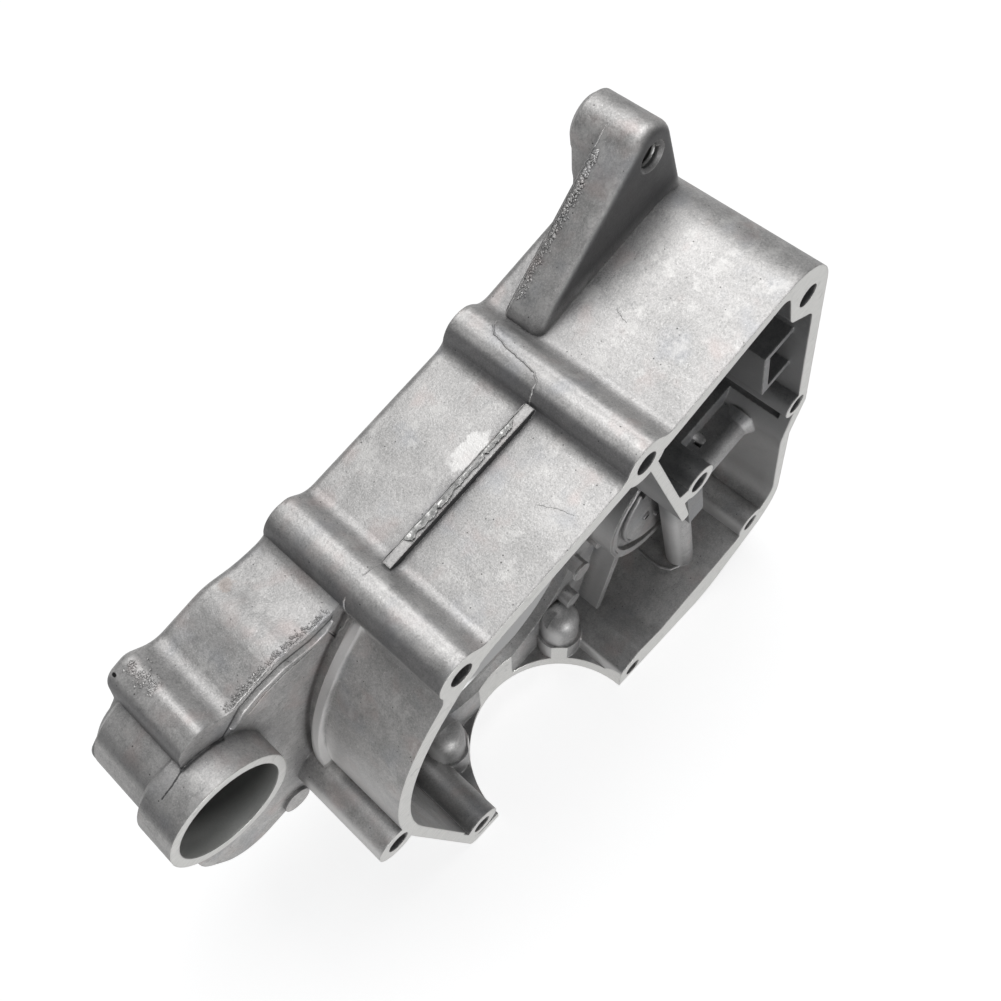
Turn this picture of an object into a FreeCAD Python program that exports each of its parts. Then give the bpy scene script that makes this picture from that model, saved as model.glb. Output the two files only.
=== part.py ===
import FreeCAD, Part
import Sketcher
import os

# Half of a split engine crankcase, cast as one piece in aluminium.
# Build frame: X runs along the long wall, Y goes from the split face into the depth,
# Z points to the long wall. The finished casting is turned about Y by the lean of the
# cylinder, so that the cylinder deck lies level and the part stands on it.

doc = FreeCAD.newDocument("CrankcaseCover")
sheet = doc.addObject("Spreadsheet::Sheet", "Dims")

# Driving sizes in millimetres, angles in degrees
SIZES = [
    ("cylinder_lean", 13.5),
    ("casting_depth", 61.0),
    ("wall", 4.6),
    ("long_wall_z", 151.2),
    ("long_wall_rise", 4.0),
    ("back_round", 2.4),
    ("left_wall", 3.4),
    ("left_wall_x", -45.8),
    ("right_wall_x", 131.4),
    ("right_corner_z", 66.0),
    ("lower_right_x", 124.0),
    ("deck_left_x", -43.6),
    ("deck_right_x", 80.0),
    ("deck_depth", 38.0),
    ("deck_right_round", 28.0),
    ("lower_right_round", 20.0),
    ("gear_corner_round", 16.0),
    ("shoulder_z", 120.0),
    ("shoulder_round", 68.0),
    ("floor_front", 31.0),
    ("floor_thickness", 4.0),
    ("gear_floor_front", 46.0),
    ("gear_ledge_front", 23.0),
    ("gear_ledge_z", 60.0),
    ("bolt_hole_radius", 3.4),
    ("bolt_boss_radius", 7.4),
    ("hole_a_x", 61.2),
    ("hole_a_z", 149.7),
    ("hole_b_x", -3.6),
    ("hole_b_z", 149.7),
    ("hole_c_x", 79.6),
    ("hole_c_z", 99.4),
    ("hole_d_x", 126.3),
    ("hole_d_z", 71.0),
    ("hole_e_x", 123.1),
    ("hole_e_z", 140.1),
    ("hole_f_x", -47.8),
    ("hole_f_z", 92.2),
    ("hole_g_x", -35.7),
    ("hole_g_z", 20.4),
    ("hole_h_x", 106.6),
    ("hole_h_z", 2.8),
    ("hole_i_x", 39.1),
    ("hole_i_z", -4.3),
    ("spigot_radius", 32.0),
    ("stud_offset_x", 29.0),
    ("stud_offset_y", 27.0),
    ("stud_boss_radius", 7.0),
    ("stud_boss_height", 30.0),
    ("stud_collar_radius", 8.2),
    ("stud_collar_height", 15.0),
    ("deck_wall", 4.0),
    ("stud_hole_radius", 3.4),
    ("stud_hole_depth", 16.0),
    ("opening_x", 12.0),
    ("opening_z", 60.0),
    ("opening_radius", 43.5),
    ("arm_front", 33.0),
    ("arm_lower_z", 84.0),
    ("arm_web", 5.0),
    ("web_tab_x", -60.4),
    ("web_tab_z", 84.6),
    ("web_tab_radius", 4.3),
    ("web_tab_rise", 1.2),
    ("hanger_x", -62.7),
    ("hanger_z", 138.5),
    ("hanger_radius", 16.9),
    ("hanger_front", 24.0),
    ("hanger_step", 39.0),
    ("hanger_step_chamfer", 2.8),
    ("hanger_back", 59.0),
    ("hanger_back_x", -61.2),
    ("hanger_back_z", 139.0),
    ("hanger_back_radius", 15.6),
    ("hanger_back_chamfer", 3.0),
    ("hanger_bore_radius", 14.3),
    ("hanger_bore_depth", 16.0),
    ("hanger_core_radius", 10.5),
    ("rim_bead_front", 27.0),
    ("rim_bead_width", 2.6),
    ("rim_bead_height", 2.0),
    ("parting_y", 30.0),
    ("parting_rib_width", 2.6),
    ("parting_rib_height", 2.4),
    ("parting_rib_start", 3.6),
    ("parting_rib_end", 54.5),
    ("lug_x", 115.3),
    ("lug_rise", 21.6),
    ("lug_radius", 8.2),
    ("lug_front", 41.0),
    ("lug_rib_back", 52.0),
    ("lug_slope", 32.0),
    ("lug_edge_round", 3.0),
    ("lug_lean", 6.3),
    ("lug_neck_x", 105.7),
    ("lug_neck_front", 49.0),
    ("lug_hole_radius", 3.4),
    ("lug_hole_depth", 14.0),
    ("lug_hole_chamfer", 0.9),
    ("divider_thickness", 3.0),
    ("divider_foot_x", 72.8),
    ("divider_foot_z", 84.5),
    ("bearing_x", 84.0),
    ("bearing_z", 47.0),
    ("bearing_boss_radius", 26.0),
    ("bearing_rim", 3.0),
    ("bearing_recess", 1.8),
    ("bearing_front", 20.0),
    ("bearing_hub_radius", 19.5),
    ("gallery_x", 82.0),
    ("gallery_y", 13.0),
    ("gallery_radius", 5.0),
    ("rail_z", 48.5),
    ("rail_y", 16.5),
    ("rail_radius", 4.6),
    ("rail_flare_radius", 6.6),
    ("rail_flare_length", 3.6),
    ("rail_start", 98.0),
]

for row, (alias, value) in enumerate(SIZES, start=1):
    sheet.set("A%d" % row, alias)
    sheet.set("B%d" % row, str(value))
    sheet.setAlias("B%d" % row, alias)
doc.recompute()


def size(alias):
    """Value of one cell of the sheet, in millimetres or degrees."""
    return float(sheet.get(alias))


def value_of(text):
    """Value of a formula over the cells of the sheet."""
    result = sheet.evalExpression(text)
    return float(getattr(result, "Value", result))


def place(thing, base, axis=(1, 0, 0), angle=0):
    """Sets the turn of an object and binds its base point to formulas."""
    turn = FreeCAD.Rotation(FreeCAD.Vector(*axis), angle)
    thing.Placement = FreeCAD.Placement(FreeCAD.Vector(0, 0, 0), turn)
    for letter, text in zip("xyz", base):
        thing.setExpression("Placement.Base." + letter, text)


def block(name, x_range, y_range, z_range):
    """Upright box between bound limits."""
    box = doc.addObject("Part::Box", name)
    ranges = (x_range, y_range, z_range)
    for prop, (low, high) in zip(("Length", "Width", "Height"), ranges):
        box.setExpression(prop, "(%s) - (%s)" % (high, low))
    place(box, [low for low, high in ranges])
    return box


def column(name, x, z, front, back, radius):
    """Round column along the draw direction Y."""
    rod = doc.addObject("Part::Cylinder", name)
    rod.setExpression("Radius", radius)
    rod.setExpression("Height", "(%s) - (%s)" % (back, front))
    place(rod, (x, front, z), (1, 0, 0), -90)
    return rod


def fuse(name, parts):
    """One solid from several."""
    joined = doc.addObject("Part::MultiFuse", name)
    joined.Shapes = parts
    joined.Refine = True
    return joined


def cut(name, base, tool):
    """Base less tool."""
    result = doc.addObject("Part::Cut", name)
    result.Base = base
    result.Tool = tool
    result.Refine = True
    return result


def prism(name, corners, front, back):
    """Outline in the XZ plane with rounded corners, drawn out along Y.

    Each corner is an X formula, a Z formula and a corner radius, which may be zero.
    """
    sketch = doc.addObject("Sketcher::SketchObject", name + "_outline")
    place(sketch, ("0", front, "0"), (1, 0, 0), 90)
    points = [FreeCAD.Vector(value_of(x), value_of(z), 0) for x, z, radius in corners]
    count = len(points)
    for index in range(count):
        sketch.addGeometry(Part.LineSegment(points[index], points[(index + 1) % count]), False)
    for index in range(count):
        after = (index + 1) % count
        sketch.addConstraint(Sketcher.Constraint("Coincident", index, 2, after, 1))
    for index, (x, z, radius) in enumerate(corners):
        for kind, text, place_now in (("DistanceX", x, points[index].x), ("DistanceY", z, points[index].y)):
            number = sketch.addConstraint(Sketcher.Constraint(kind, -1, 1, index, 1, place_now))
            sketch.setExpression("Constraints[%d]" % number, text)
    drawn = doc.addObject("Part::Extrusion", name + "_drawn")
    drawn.Base = sketch
    drawn.DirMode = "Custom"
    drawn.Dir = FreeCAD.Vector(0, 1, 0)
    drawn.Solid = True
    drawn.setExpression("LengthFwd", "(%s) - (%s)" % (back, front))
    if not any(radius for x, z, radius in corners):
        return drawn
    doc.recompute()
    rounds = []
    for number, edge in enumerate(drawn.Shape.Edges, start=1):
        ends = [vertex.Point for vertex in edge.Vertexes]
        if abs(ends[0].y - ends[-1].y) < 0.001:
            continue
        for point, (x, z, radius) in zip(points, corners):
            if radius and abs(ends[0].x - point.x) < 0.001 and abs(ends[0].z - point.y) < 0.001:
                rounds.append((number, radius, radius))
    rounded = doc.addObject("Part::Fillet", name)
    rounded.Base = drawn
    rounded.Edges = rounds
    doc.recompute()
    return rounded


def softened(kind, name, base, width, chosen):
    """Edges that the chooser names, taken off by one width."""
    doc.recompute()
    edges = [(number, width, width) for number, edge in enumerate(base.Shape.Edges, start=1) if chosen(edge)]
    if not edges:
        raise RuntimeError("no edge to soften: " + name)
    result = doc.addObject(kind, name)
    result.Base = base
    result.Edges = edges
    doc.recompute()
    return result


def rounded(name, base, radius, chosen):
    """Edges that the chooser names, rounded with one radius."""
    return softened("Part::Fillet", name, base, radius, chosen)


def bevelled(name, base, width, chosen):
    """Edges that the chooser names, with one chamfer."""
    return softened("Part::Chamfer", name, base, width, chosen)


def lies_at(edge, y):
    """Whether a whole edge lies in the plane at one depth."""
    return abs(edge.BoundBox.YMin - y) < 0.001 and abs(edge.BoundBox.YMax - y) < 0.001


def deck_z(x):
    """Height of the leaning cylinder deck at a place along X."""
    return "-(%s) * tan(Dims.cylinder_lean * 1 deg)" % x


# Outside of the case, with the two bolt ridges on the long wall
RIDGE_HALF = 6.4
RIDGE_RISE = 5.2


def ridge(hole_x):
    """Corners of one bolt ridge on the long wall, from high X to low X."""
    top = "Dims.long_wall_z + %g" % RIDGE_RISE
    return [
        ("%s + %g" % (hole_x, RIDGE_HALF + 2.0), "Dims.long_wall_z", 5.0),
        ("%s + %g" % (hole_x, RIDGE_HALF - 2.4), top, 4.4),
        ("%s - %g" % (hole_x, RIDGE_HALF - 2.4), top, 4.4),
    ]


OUTER = [
    ("Dims.deck_left_x", deck_z("Dims.deck_left_x"), 4.0),
    ("Dims.deck_right_x", deck_z("Dims.deck_right_x"), size("deck_right_round")),
    ("Dims.lower_right_x - 2.0", "-4.0", size("lower_right_round")),
    ("Dims.lower_right_x + 0.6", "52.0", 8.0),
    ("Dims.right_wall_x", "Dims.right_corner_z", 0),
    ("Dims.right_wall_x", "Dims.long_wall_z + Dims.long_wall_rise", size("gear_corner_round")),
] + ridge("Dims.hole_a_x") + [
    ("Dims.hole_a_x - %g" % (RIDGE_HALF + 0.6), "Dims.long_wall_z", 5.0),
] + ridge("Dims.hole_b_x") + [
    ("Dims.hole_b_x - %g" % (RIDGE_HALF + 1.4), "Dims.long_wall_z - 6.0", 4.0),
    ("Dims.left_wall_x", "Dims.shoulder_z", size("shoulder_round")),
]
case_prism = prism("case_prism", OUTER, "0", "Dims.casting_depth")
# Hollow in front of the floor, one wall in from the outside
INNER = [
    ("Dims.left_wall_x + Dims.left_wall + 2.0", "Dims.hole_g_z + 11.0", 6.0),
    ("Dims.hole_g_x + 5.6", "Dims.hole_g_z + 1.9", 1.5),
    ("Dims.hole_g_x + 12.0", "Dims.hole_g_z - 14.0", 0),
    ("Dims.spigot_radius", "-1.0", 0),
    ("Dims.hole_i_x - 5.0", "3.6", 3.0),
    ("Dims.hole_i_x + 5.0", "5.4", 4.0),
    ("Dims.hole_i_x + 17.0", "1.0", 8.0),
    ("Dims.deck_right_x + 18.0", "0.6", 8.0),
    ("Dims.lower_right_x - 5.0", "8.0", 10.0),
    ("Dims.lower_right_x + 0.6 - Dims.wall", "52.0", 8.0),
    ("Dims.right_wall_x - Dims.wall", "69.0", 10.0),
    ("Dims.right_wall_x - Dims.wall", "Dims.hole_e_z - 13.4", 5.0),
    ("Dims.hole_e_x - 6.4", "Dims.hole_e_z - 5.0", 5.0),
    ("Dims.hole_e_x - 8.0", "Dims.long_wall_z + Dims.long_wall_rise - Dims.wall + 0.4", 3.6),
    ("Dims.hole_a_x + 9.0", "Dims.long_wall_z - Dims.wall - 0.2", 6.0),
    ("Dims.hole_b_x + 4.0", "Dims.long_wall_z - Dims.wall - 1.0", 28.0),
    ("Dims.left_wall_x + Dims.left_wall", "Dims.shoulder_z - 1.6", size("shoulder_round") - 4.0),
]
front_hollow = prism("front_hollow", INNER, "-1", "Dims.floor_front")

# Pocket left of the spigot, where the deck wall is thin
left_pocket = prism("left_pocket", [
    ("Dims.left_wall_x + Dims.left_wall + 1.4", "Dims.hole_g_z + 12.0", 0),
    ("Dims.left_wall_x + Dims.left_wall + 2.2", deck_z("Dims.left_wall_x + Dims.left_wall + 2.2") + " + Dims.deck_wall", 4.0),
    ("-4.0", deck_z("-4.0") + " + Dims.deck_wall", 0),
    ("-4.0", "Dims.hole_g_z + 12.0", 0),
], "-1", "Dims.floor_front")

# Deep pocket of the gear side, behind which the floor steps back
pocket_left = "Dims.divider_foot_x + 2.4"
pocket_low = "Dims.gear_ledge_z"
gear_pocket = prism("gear_pocket", [
    (pocket_left, pocket_low, 3.0),
    ("Dims.right_wall_x - Dims.wall", pocket_low, 3.0),
    ("Dims.right_wall_x - Dims.wall", "Dims.hole_e_z - 13.4", 5.0),
    ("Dims.hole_e_x - 6.4", "Dims.hole_e_z - 5.0", 5.0),
    ("Dims.hole_e_x - 8.0", "Dims.long_wall_z + Dims.long_wall_rise - Dims.wall + 0.4", 3.6),
    ("Dims.hole_a_x + 9.0", "Dims.long_wall_z - Dims.wall - 0.2", 0),
    (pocket_left, "Dims.long_wall_z - Dims.wall - 4.0", 4.0),
], "4", "Dims.gear_floor_front")

# Hollow behind the floor, open to the back
BACK = [
    ("Dims.left_wall_x + Dims.wall + 1.0", "16.0", 5.0),
    ("Dims.deck_right_x + 18.0", "-6.0", 8.0),
    ("Dims.lower_right_x - 5.0", "6.0", 10.0),
    ("Dims.lower_right_x + 0.6 - Dims.wall", "52.0", 8.0),
    ("Dims.right_wall_x - Dims.wall", "69.0", 10.0),
    ("Dims.right_wall_x - Dims.wall", "Dims.long_wall_z + Dims.long_wall_rise - Dims.wall", 11.0),
    ("Dims.hole_a_x + 9.0", "Dims.long_wall_z - Dims.wall - 0.2", 6.0),
    ("Dims.hole_b_x + 4.0", "Dims.long_wall_z - Dims.wall - 1.0", 28.0),
    ("Dims.left_wall_x + Dims.wall", "Dims.shoulder_z - 2.0", size("shoulder_round") - 4.0),
]
back_hollow = prism("back_hollow", BACK, "Dims.floor_front + Dims.floor_thickness", "Dims.casting_depth + 1")
pocket_housing = block(
    "pocket_housing",
    (pocket_left + " - Dims.wall", "Dims.right_wall_x + 1"),
    ("Dims.floor_front", "Dims.gear_floor_front + Dims.floor_thickness"),
    (pocket_low + " - Dims.wall", "Dims.long_wall_z + 10"),
)
back_space = cut("back_space", back_hollow, pocket_housing)
back_mouth = block(
    "back_mouth",
    ("-14", "58"),
    ("Dims.deck_depth", "Dims.casting_depth + 1"),
    ("-40", "30"),
)

# Raised bead round the left wall where the two die halves meet
rim_bead = prism("rim_bead", [
    ("Dims.left_wall_x - Dims.rim_bead_height", "Dims.shoulder_z - 40", 0),
    ("0", "Dims.shoulder_z - 40", 0),
    ("0", "Dims.long_wall_z - 4", 0),
    ("Dims.hole_b_x - 6", "Dims.long_wall_z - 2.4", 0),
    ("Dims.left_wall_x - Dims.rim_bead_height", "Dims.shoulder_z + 1.4", size("shoulder_round")),
], "Dims.rim_bead_front", "Dims.rim_bead_front + Dims.rim_bead_width")

# Arm that carries the hanger boss: a web in front, a rim round it, open at the back
ARM = [
    ("Dims.hole_b_x - 2.0", "Dims.long_wall_z + 4.8", 0),
    ("Dims.hole_b_x - 7.2", "Dims.long_wall_z + 0.2", 6.0),
    ("-19.6", "Dims.long_wall_z + 1.4", 28.0),
    ("-28.5", "Dims.long_wall_z + 5.2", 15.0),
    ("-45.0", "Dims.long_wall_z + 4.6", 6.0),
    ("-50.4", "Dims.long_wall_z + 10.6", 4.0),
    ("-58.0", "Dims.long_wall_z + 9.8", 5.0),
    ("Dims.hanger_x + 1.0", "Dims.hanger_z + 13.0", 5.0),
    ("Dims.hanger_back_x - Dims.hanger_back_radius + 0.4", "Dims.hanger_z + 4.0", 3.0),
    ("Dims.hanger_x - Dims.hanger_radius - 7.0", "Dims.arm_lower_z + 18.0", 14.0),
    ("Dims.hanger_x - Dims.hanger_radius - 1.6", "Dims.arm_lower_z - 1.0", 13.0),
    ("-30", "Dims.arm_lower_z - 2.0", 0),
]
arm_prism = prism("arm_prism", ARM, "Dims.arm_front", "Dims.casting_depth")
ARM_HOLLOW = [
    ("-30", "Dims.long_wall_z - 1.0", 0),
    ("-52", "Dims.long_wall_z - 1.0", 3.0),
    ("Dims.hanger_x - Dims.hanger_radius + Dims.wall - 4.0", "Dims.arm_lower_z + 20.0", 10.0),
    ("Dims.hanger_x - Dims.hanger_radius + Dims.wall - 1.0", "Dims.arm_lower_z + Dims.wall - 1.0", 9.0),
    ("-30", "Dims.arm_lower_z + Dims.wall - 1.5", 0),
]
arm_hollow = prism("arm_hollow", ARM_HOLLOW, "Dims.arm_front + Dims.arm_web", "Dims.casting_depth + 1")
arm_outside = cut("arm_outside", arm_hollow, case_prism)

# Case and arm are one wall, so they are joined, and their back edge softened, before the
# hollows are taken out: it is rounded along the long wall and the arm, and square at the deck
case_and_arm = rounded(
    "case_and_arm",
    fuse("outside", [case_prism, arm_prism]),
    size("back_round"),
    lambda edge: lies_at(edge, size("casting_depth")) and edge.BoundBox.Center.z > size("right_corner_z"),
)
shell = fuse("outside_with_bead", [case_and_arm, rim_bead])
HOLLOWS = (front_hollow, left_pocket, gear_pocket, back_space, back_mouth, arm_outside)
for number, hollow in enumerate(HOLLOWS, start=1):
    shell = cut("shell_%d" % number, shell, hollow)

hanger_ring = bevelled(
    "hanger_ring",
    column("hanger_nose", "Dims.hanger_x", "Dims.hanger_z", "Dims.hanger_front", "Dims.hanger_step", "Dims.hanger_radius"),
    size("hanger_step_chamfer"),
    lambda edge: lies_at(edge, size("hanger_step")),
)
hanger_body = bevelled(
    "hanger_body",
    column(
        "hanger_tail", "Dims.hanger_back_x", "Dims.hanger_back_z",
        "Dims.hanger_step - 4", "Dims.hanger_back", "Dims.hanger_back_radius",
    ),
    size("hanger_back_chamfer"),
    lambda edge: lies_at(edge, size("hanger_back")),
)

# Hanger lug on the long wall
lug_z = "(Dims.long_wall_z + Dims.lug_rise)"
slope = "Dims.lug_slope * 1 deg"
lean = "Dims.lug_lean * 1 deg"
crest_x = "Dims.lug_x - Dims.lug_radius * sin(%s)" % slope
crest_z = "%s + Dims.lug_radius * cos(%s)" % (lug_z, slope)
foot_z = "Dims.long_wall_z + 2.8"
root_z = "Dims.long_wall_z - 2"
rib_foot_x = "%s - (%s - (%s)) / tan(%s)" % (crest_x, crest_z, foot_z, slope)
flank_foot_x = "Dims.lug_x + (Dims.lug_radius + (%s - (%s)) * sin(%s)) / cos(%s)" % (lug_z, root_z, lean, lean)
# The two flanks touch the tip circle, and meet on the line that halves their angle
tip_reach = "Dims.lug_radius / cos((90 + Dims.lug_slope - Dims.lug_lean) / 2 * 1 deg)"
tip_angle = "(90 + Dims.lug_slope + Dims.lug_lean) / 2 * 1 deg"
lug_drawn = prism("lug_drawn", [
    (flank_foot_x, root_z, 0),
    (
        "Dims.lug_x + %s * cos(%s)" % (tip_reach, tip_angle),
        "%s + %s * sin(%s)" % (lug_z, tip_reach, tip_angle),
        size("lug_radius"),
    ),
    (rib_foot_x, foot_z, 3.6),
    (rib_foot_x, root_z, 0),
], "Dims.lug_front", "Dims.lug_rib_back")
lug_rib = rounded(
    "lug_rib", lug_drawn, size("lug_edge_round"),
    lambda edge: lies_at(edge, size("lug_front")) and edge.BoundBox.ZMax > size("long_wall_z") - 1.0,
)
lug_neck = prism("lug_neck", [
    (flank_foot_x, root_z, 0),
    ("Dims.lug_x + Dims.lug_radius", lug_z, 0),
    ("Dims.lug_x - Dims.lug_radius", lug_z, 0),
    ("Dims.lug_neck_x", lug_z + " - 8.0", 10.0),
    ("Dims.lug_neck_x", "Dims.long_wall_z + 5.0", 9.0),
    ("Dims.lug_neck_x - 12.0", "Dims.long_wall_z + 1.2", 0),
    ("Dims.lug_neck_x - 12.0", "Dims.long_wall_z - 2", 0),
], "Dims.lug_neck_front", "Dims.casting_depth - 1.8")
lug_boss = bevelled(
    "lug_boss",
    column("lug_shank", "Dims.lug_x", lug_z, "Dims.lug_rib_back - 4", "Dims.casting_depth", "Dims.lug_radius"),
    size("lug_edge_round") / 2,
    lambda edge: lies_at(edge, size("casting_depth")),
)

# Parting rib on the long wall
parting_rib = block(
    "parting_rib",
    ("Dims.parting_rib_start", "Dims.parting_rib_end"),
    ("Dims.parting_y - Dims.parting_rib_width / 2", "Dims.parting_y + Dims.parting_rib_width / 2"),
    ("Dims.long_wall_z - 2", "Dims.long_wall_z + Dims.parting_rib_height"),
)

# Round pad on the lower edge of the arm web
web_tab = column(
    "web_tab", "Dims.web_tab_x", "Dims.web_tab_z",
    "Dims.arm_front - Dims.web_tab_rise", "Dims.arm_front + Dims.arm_web", "Dims.web_tab_radius",
)

# Bolt columns that stand in the hollow or outside the wall
COLUMN_BACK = {
    "a": "Dims.casting_depth - 1",
    "b": "Dims.casting_depth - 1",
    "c": "Dims.gear_floor_front + Dims.floor_thickness",
    "d": "Dims.casting_depth - 1",
    "e": "Dims.casting_depth - 1",
    "f": "Dims.arm_front + Dims.arm_web",
    "g": "Dims.floor_front + 1",
    "h": "Dims.casting_depth - 1",
}
COLUMN_LESS = {"a": 0.4, "b": 0.4, "c": 1.6, "d": 2.2, "e": 1.0, "f": 0.6, "g": 0.6, "h": 1.2}
columns = [
    column(
        "column_" + letter,
        "Dims.hole_%s_x" % letter,
        "Dims.hole_%s_z" % letter,
        "0",
        back,
        "Dims.bolt_boss_radius - %g" % COLUMN_LESS[letter],
    )
    for letter, back in COLUMN_BACK.items()
]

# Divider between the crank side and the gear side, with its branch to bolt column C
divider = prism("divider", [
    ("Dims.hole_a_x + 0.6", "Dims.hole_a_z - 5.0", 0),
    ("Dims.divider_foot_x - Dims.divider_thickness / 2", "Dims.divider_foot_z", 1.0),
    ("Dims.divider_foot_x + Dims.divider_thickness / 2", "Dims.divider_foot_z - 0.6", 1.0),
    ("Dims.divider_foot_x + 0.2", "Dims.hole_c_z - 3.0", 0),
    ("Dims.hole_c_x - 2.0", "Dims.hole_c_z - 3.4", 0),
    ("Dims.hole_c_x - 2.0", "Dims.hole_c_z + 2.6", 0),
    ("Dims.divider_foot_x - 1.6", "Dims.hole_c_z + 5.0", 2.0),
    ("Dims.hole_a_x + 0.6 + Dims.divider_thickness", "Dims.hole_a_z - 5.0", 0),
], "0", "Dims.floor_front + Dims.floor_thickness")

# Shaft bearing boss, oil gallery and the ledges on the gear side
bearing_round = column(
    "bearing_round",
    "Dims.bearing_x",
    "Dims.bearing_z",
    "Dims.bearing_front",
    "Dims.gear_floor_front + Dims.floor_thickness",
    "Dims.bearing_boss_radius",
)
# The boss ends where the deep pocket of the gear side begins
bearing_trim = block(
    "bearing_trim",
    (pocket_left, "Dims.bearing_x + Dims.bearing_boss_radius + 1"),
    ("Dims.bearing_front - 1", "Dims.gear_floor_front"),
    (pocket_low, "Dims.bearing_z + Dims.bearing_boss_radius + 1"),
)
# Right of the gallery the ledge lies over it
bearing_side = block(
    "bearing_side",
    ("Dims.gallery_x + 3.0", "Dims.bearing_x + Dims.bearing_boss_radius + 1"),
    ("Dims.bearing_front - 1", "Dims.gear_ledge_front"),
    ("Dims.bearing_z - Dims.bearing_boss_radius - 1", "Dims.bearing_z + Dims.bearing_boss_radius + 1"),
)
bearing_boss = cut("bearing_boss", cut("bearing_low", bearing_round, bearing_trim), bearing_side)
bearing_disc = column(
    "bearing_disc",
    "Dims.bearing_x",
    "Dims.bearing_z",
    "Dims.bearing_front - 1",
    "Dims.bearing_front + Dims.bearing_recess",
    "Dims.bearing_boss_radius - Dims.bearing_rim",
)
bearing_groove = cut("bearing_groove", bearing_disc, column(
    "bearing_core",
    "Dims.bearing_x",
    "Dims.bearing_z",
    "Dims.bearing_front - 2",
    "Dims.bearing_front + Dims.bearing_recess + 1",
    "Dims.bearing_hub_radius",
))
gallery = doc.addObject("Part::Cylinder", "gallery")
gallery.setExpression("Radius", "Dims.gallery_radius")
gallery.setExpression("Height", "Dims.hole_c_z - 2.0")
place(gallery, ("Dims.gallery_x", "Dims.gallery_y", "-2"))
gallery_web = block(
    "gallery_web",
    ("Dims.gallery_x - 3.4", "Dims.gallery_x + 3.4"),
    ("4", "Dims.gallery_y + 6"),
    ("Dims.bearing_z + 12", "Dims.hole_c_z"),
)
ledge = prism("ledge", [
    ("Dims.rail_start - 4", "-4.0", 0),
    ("Dims.hole_h_x + 3.0", "-2.0", 0),
    ("Dims.lower_right_x - 5.0", "9.0", 0),
    ("Dims.lower_right_x - 3.0", "18.0", 0),
    ("Dims.lower_right_x - 2.0", "50.0", 0),
    ("Dims.right_wall_x - 5.0", "Dims.gear_ledge_z", 0),
    ("Dims.rail_start - 4", "Dims.gear_ledge_z", 0),
], "Dims.gear_ledge_front", "Dims.floor_front + Dims.floor_thickness")
rail = doc.addObject("Part::Cylinder", "rail")
rail.setExpression("Radius", "Dims.rail_radius")
rail.setExpression("Height", "Dims.lower_right_x - 2 - Dims.rail_start")
place(rail, ("Dims.rail_start", "Dims.rail_y", "Dims.rail_z"), (0, 1, 0), 90)
rail_flare = doc.addObject("Part::Cone", "rail_flare")
rail_flare.setExpression("Radius1", "Dims.rail_radius")
rail_flare.setExpression("Radius2", "Dims.rail_flare_radius")
rail_flare.setExpression("Height", "Dims.rail_flare_length")
place(
    rail_flare,
    ("Dims.lower_right_x - 3.4 - Dims.rail_flare_length", "Dims.rail_y", "Dims.rail_z"),
    (0, 1, 0), 90,
)
rail_web = block(
    "rail_web",
    ("Dims.rail_start", "Dims.lower_right_x - 3"),
    ("Dims.rail_y", "Dims.gear_ledge_front + 1"),
    ("Dims.rail_z - Dims.rail_radius", "Dims.rail_z + Dims.rail_radius"),
)
crank_rib = prism("crank_rib", [
    ("42.0", "-3.0", 0),
    ("44.6", "-3.0", 0),
    ("66.0", "36.0", 0),
    ("63.4", "37.2", 0),
], "Dims.bearing_front + 2", "Dims.floor_front + 1")

# Pocket of three thin walls against the right wall
catch_outside = block(
    "catch_outside",
    ("Dims.right_wall_x - 17", "Dims.right_wall_x - 2"),
    ("5", "Dims.gear_floor_front + 1"),
    ("Dims.hole_d_z + 20", "Dims.hole_d_z + 42"),
)
catch_inside = block(
    "catch_inside",
    ("Dims.right_wall_x - 14.6", "Dims.right_wall_x - Dims.wall"),
    ("4", "Dims.gear_floor_front - 4"),
    ("Dims.hole_d_z + 22.4", "Dims.hole_d_z + 39.6"),
)
catch_walls = cut("catch_walls", catch_outside, catch_inside)

# Small bosses beside the opening
SMALL_BOSSES = [
    ("sensor_boss", "48.5", "37.0", "26.0", "3.8"),
    ("dowel_knob", "41.0", "21.5", "26.0", "3.2"),
    ("stop_bead", "59.5", "41.5", "26.5", "2.4"),
]
small_bosses = [
    column(name, x, z, front, "Dims.floor_front + 1", radius) for name, x, z, front, radius in SMALL_BOSSES
]


def leaning_rod(name, across, depth, low, high, radius):
    """Round rod along the cylinder axis, placed from the middle of the deck."""
    lean = "Dims.cylinder_lean * 1 deg"
    rod = doc.addObject("Part::Cylinder", name)
    rod.setExpression("Radius", radius)
    rod.setExpression("Height", "(%s) - (%s)" % (high, low))
    base_x = "(%s) * cos(%s) + (%s) * sin(%s)" % (across, lean, low, lean)
    base_z = "(%s) * cos(%s) - (%s) * sin(%s)" % (low, lean, across, lean)
    place(rod, (base_x, depth, base_z), (0, 1, 0), size("cylinder_lean"))
    return rod


def leaning_ball(name, across, depth, height, radius):
    """Ball centred on the same kind of axis."""
    lean = "Dims.cylinder_lean * 1 deg"
    ball = doc.addObject("Part::Sphere", name)
    ball.setExpression("Radius", radius)
    centre_x = "(%s) * cos(%s) + (%s) * sin(%s)" % (across, lean, height, lean)
    centre_z = "(%s) * cos(%s) - (%s) * sin(%s)" % (height, lean, across, lean)
    place(ball, (centre_x, depth, centre_z))
    return ball


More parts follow.
